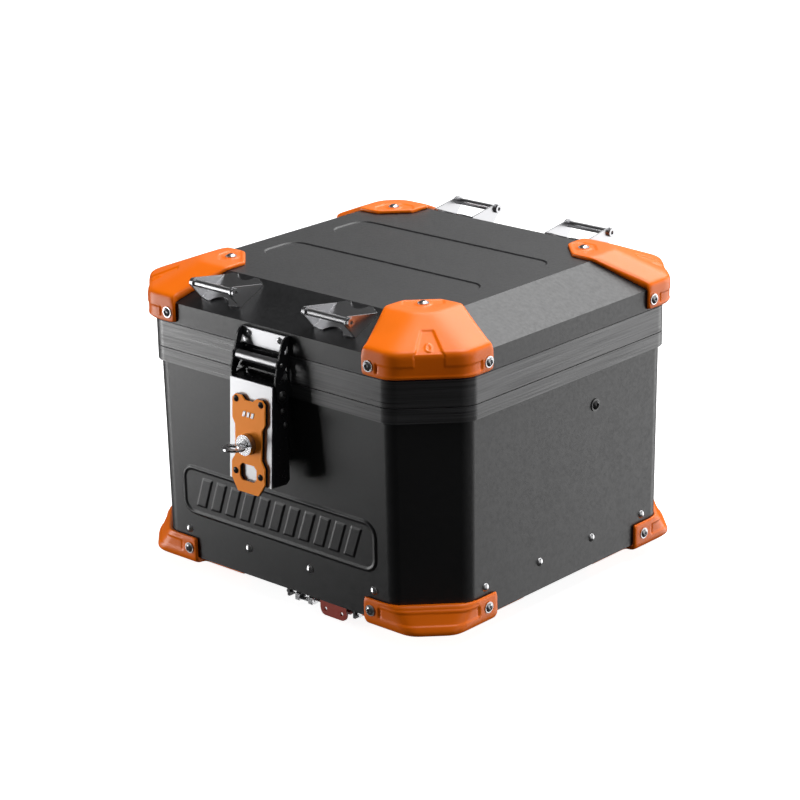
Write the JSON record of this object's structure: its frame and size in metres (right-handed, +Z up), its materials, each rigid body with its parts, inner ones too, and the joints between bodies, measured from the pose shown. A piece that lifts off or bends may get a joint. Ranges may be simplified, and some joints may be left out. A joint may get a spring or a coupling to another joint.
{
  "type": "motorcycle top case",
  "caption": "Aluminium motorcycle top case with hinged lid, corner guards, swinging lid latch with key lock, tie-down brackets and rack plate.",
  "frame": {"origin": "centre of the four rack holes, on the face of the rack plate that sits on the rack", "axes": "+X towards the case's right side as seen from the latch, -Y out of the latch face, +Z up"},
  "size_m": [0.4434, 0.4904, 0.3314],
  "materials": {
    "black_sheet": "black satin powder coat on aluminium sheet",
    "inner_sheet": "black powder coat",
    "rim_metal": "dark satin coat with fine lines along the rim",
    "gasket_rubber": "matt black rubber",
    "rivet_metal": "plain aluminium",
    "black_screw": "black oxide",
    "orange_plastic": "orange moulded plastic, satin",
    "bright_screw": "bright zinc or stainless",
    "plate_metal": "dark satin coat",
    "spacer_rubber": "matt black rubber",
    "stainless": "polished stainless steel",
    "black_steel": "gloss black coat",
    "orange_plate": "orange anodised plate, satin",
    "chrome_lock": "chrome plated",
    "key_metal": "nickel plated",
    "red_plate": "orange-red coat"
  },
  "bodies": {
    "case": {"body_shell": "black_sheet", "floor_pan": "inner_sheet", "body_rim": "rim_metal", "rim_gasket": "gasket_rubber", "body_rivets": "rivet_metal", "keeper_rivets": "rivet_metal", "hinge_body_rivets": "rivet_metal", "side_screws": "black_screw", "base_guard_fr": "orange_plastic", "base_guard_fl": "orange_plastic", "base_guard_rr": "orange_plastic", "base_guard_rl": "orange_plastic", "base_guard_screws": "bright_screw", "rack_screws": "bright_screw", "rack_plate": "plate_metal", "shaft_brackets": "plate_metal", "hinge_body_leaf": "plate_metal", "bracket_rivets": "rivet_metal", "rack_spacers": "spacer_rubber", "keeper": "stainless", "hinge_pin": "stainless"},
    "lid": {"lid_rim": "rim_metal", "lid_skin": "black_sheet", "lid_guard_fr": "orange_plastic", "lid_guard_fl": "orange_plastic", "lid_guard_rr": "orange_plastic", "lid_guard_rl": "orange_plastic", "lid_guard_screws": "bright_screw", "tiedown_screws": "bright_screw", "hasp_screws": "bright_screw", "hinge_lid_leaf": "plate_metal", "hinge_lid_rivets": "rivet_metal", "tiedown_fr": "stainless", "tiedown_fl": "stainless", "tiedown_rr": "stainless", "tiedown_rl": "stainless", "tiedown_rods": "stainless", "hasp_plate": "stainless", "hasp_roller": "stainless", "hasp_bracket": "black_steel", "hasp_guide": "black_steel", "latch_pivots": "black_screw"},
    "latch": {"latch_box": "black_steel", "latch_plate": "stainless", "latch_cover": "orange_plate", "latch_backing": "black_steel", "latch_cover_screws": "black_screw", "latch_side_screws": "black_screw", "lock_barrel": "chrome_lock"},
    "lock": {"lock_plug": "chrome_lock", "lock_cam": "rivet_metal"},
    "key": {"key": "key_metal"},
    "release": {"release_shaft": "rivet_metal", "release_hook": "rivet_metal", "release_tab": "red_plate"}
  },
  "joints": [
    {"name": "lid_hinge", "type": "hinge", "parent": "case", "child": "lid", "pos_m": [0, 0.2145, 0.2484], "axis": [-1, 0, 0], "range_deg": [0, 85]},
    {"name": "latch_swing", "type": "hinge", "parent": "lid", "child": "latch", "pos_m": [0, -0.2213, 0.238], "axis": [-1, 0, 0], "range_deg": [0, 47]},
    {"name": "key_turn", "type": "hinge", "parent": "latch", "child": "lock", "pos_m": [0, -0.24293, 0.18613], "axis": [0, 0.9984, -0.0558], "range_deg": [0, 90]},
    {"name": "key_pull", "type": "slide", "parent": "lock", "child": "key", "axis": [0, -0.9984, 0.0558], "range_m": [0, 0.03]},
    {"name": "release_lever", "type": "hinge", "parent": "case", "child": "release", "pos_m": [0.05, -0.188, 0.014], "axis": [-1, 0, 0], "range_deg": [0, 35], "stiffness_Nm_per_rad": 0.3}
  ]
}
